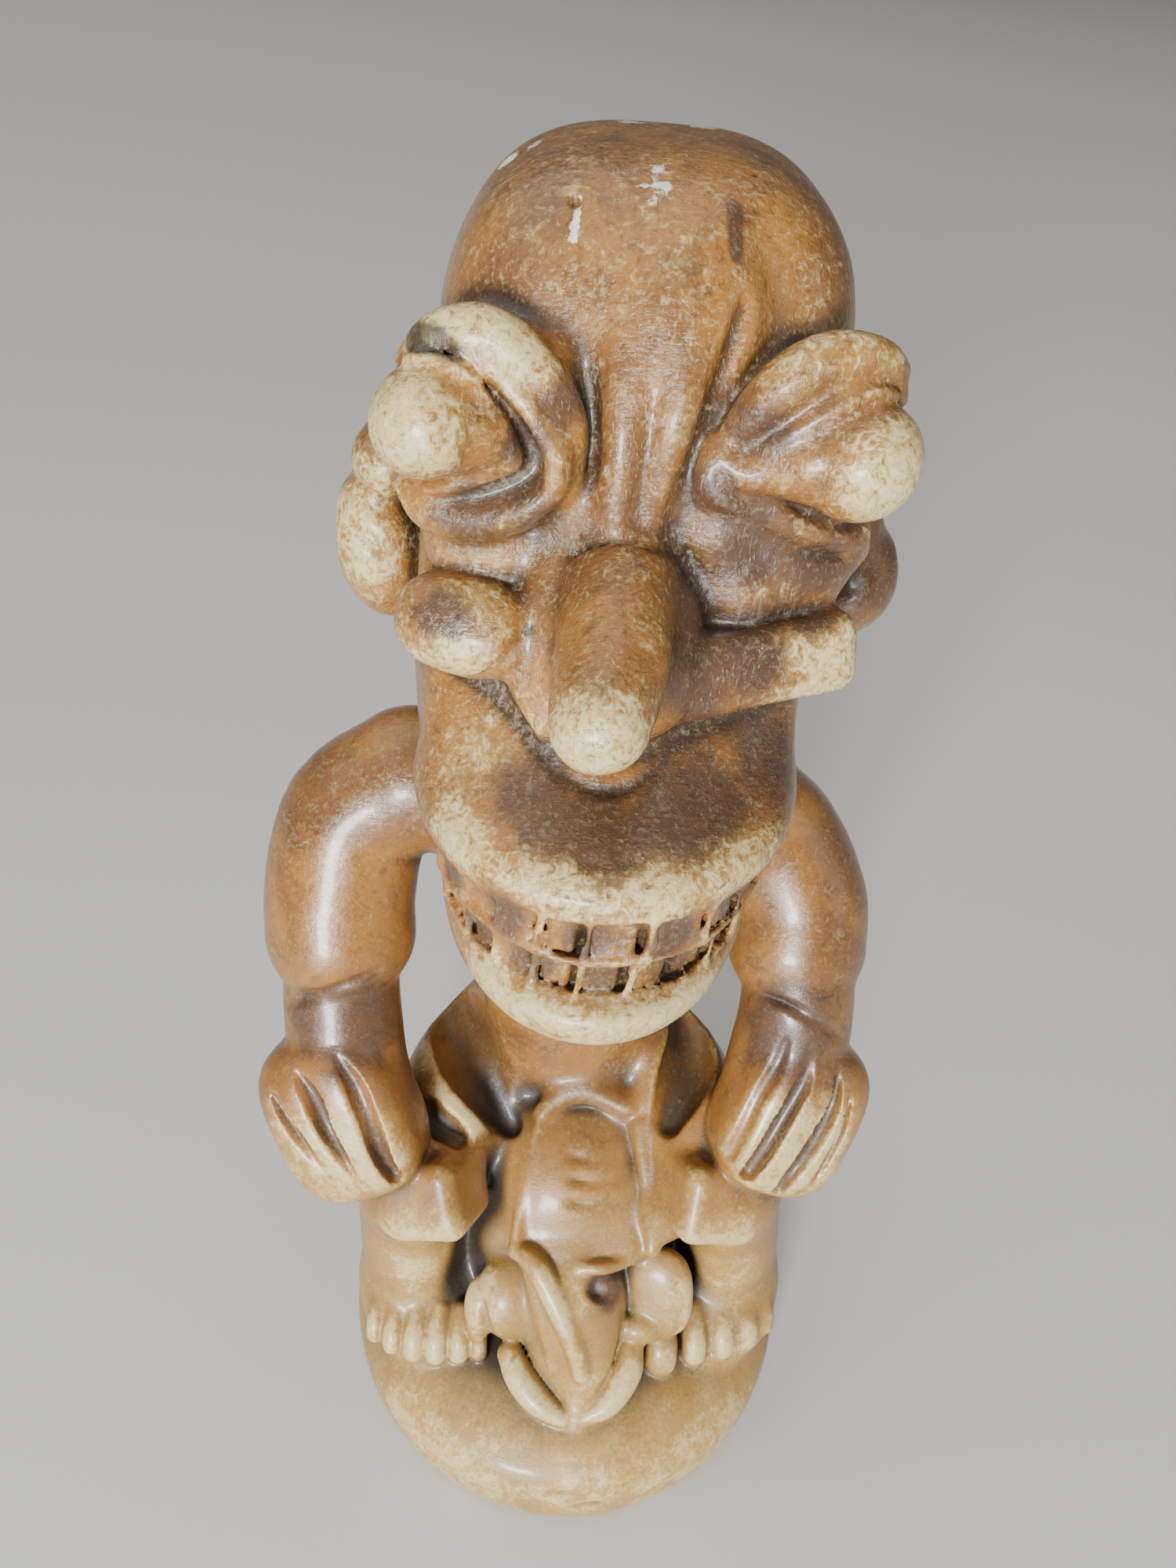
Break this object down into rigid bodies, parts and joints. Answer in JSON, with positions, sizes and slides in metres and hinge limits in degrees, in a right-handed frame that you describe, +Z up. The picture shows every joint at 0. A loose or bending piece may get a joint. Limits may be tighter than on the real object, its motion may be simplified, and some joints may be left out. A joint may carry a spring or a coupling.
{
  "type": "carved stone rider figure",
  "caption": "Carved soapstone figure of a large-headed rider astride an elephant, standing on its own round base as a decorative or devotional carving.",
  "frame": {"origin": "middle of the underside of the figure's bounding box, on the surface it stands on", "axes": "+Z up from the base to the crown, the rider faces -Y, the rider's left hand is on +X"},
  "size_m": [0.0932, 0.0748, 0.1936],
  "materials": {
    "soapstone": "hand-polished warm brown soapstone, worn tan on the high places and darker in the cuts"
  },
  "bodies": {
    "root": {"rider_figure": "soapstone"}
  },
  "joints": []
}
